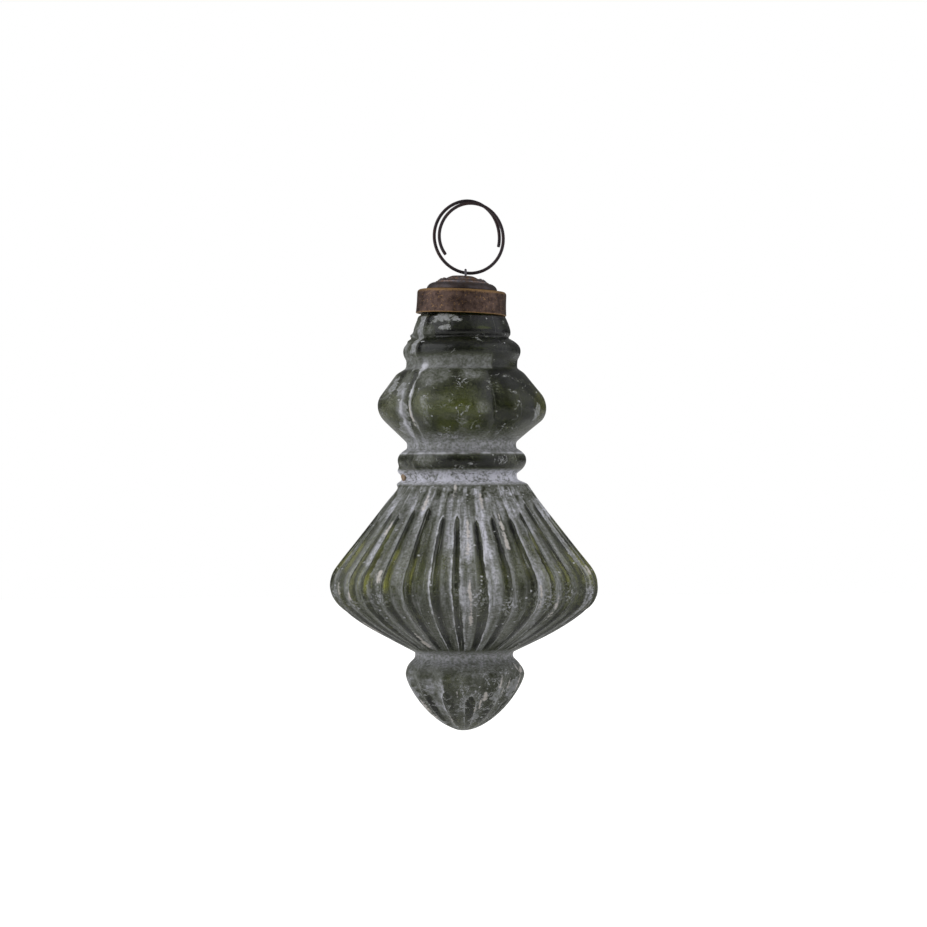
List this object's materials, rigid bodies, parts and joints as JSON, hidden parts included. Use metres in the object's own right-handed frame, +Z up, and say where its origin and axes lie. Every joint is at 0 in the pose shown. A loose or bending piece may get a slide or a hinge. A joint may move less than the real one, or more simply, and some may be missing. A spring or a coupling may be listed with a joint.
{
  "type": "glass bauble",
  "caption": "Mould-blown hanging glass bauble with beaded neck, lobed bulb, fluted belly and pointed finial, under a metal cap with an eyelet and a wire hanging ring.",
  "frame": {"origin": "the hang point: inside the top of the hanging ring, where a hook, branch or ribbon bears", "axes": "+Z up, along the hanging axis; the bauble hangs down to -Z; the ring's face looks along Y, with the front at -Y and +X to the right"},
  "size_m": [0.0746, 0.0746, 0.147],
  "materials": {
    "blown_glass": "gloss with a matt limewash in the hollows",
    "plaster_cement": "matt",
    "bronzed_brass": "bronzed, rubbed bright at the edges",
    "blackened_brass": "blackened satin",
    "dark_wire": "dark oxide"
  },
  "bodies": {
    "ring": {"hanging_ring": "dark_wire"},
    "bauble": {"glass_body": "blown_glass", "cap_cement": "plaster_cement", "cap_band": "bronzed_brass", "cap_crown": "blackened_brass", "eyelet": "dark_wire"}
  },
  "joints": [
    {"name": "eyelet_swing", "type": "hinge", "parent": "ring", "child": "bauble", "pos_m": [0, 0, -0.01887], "axis": [1, 0, 0], "range_deg": [-94, 94]}
  ]
}
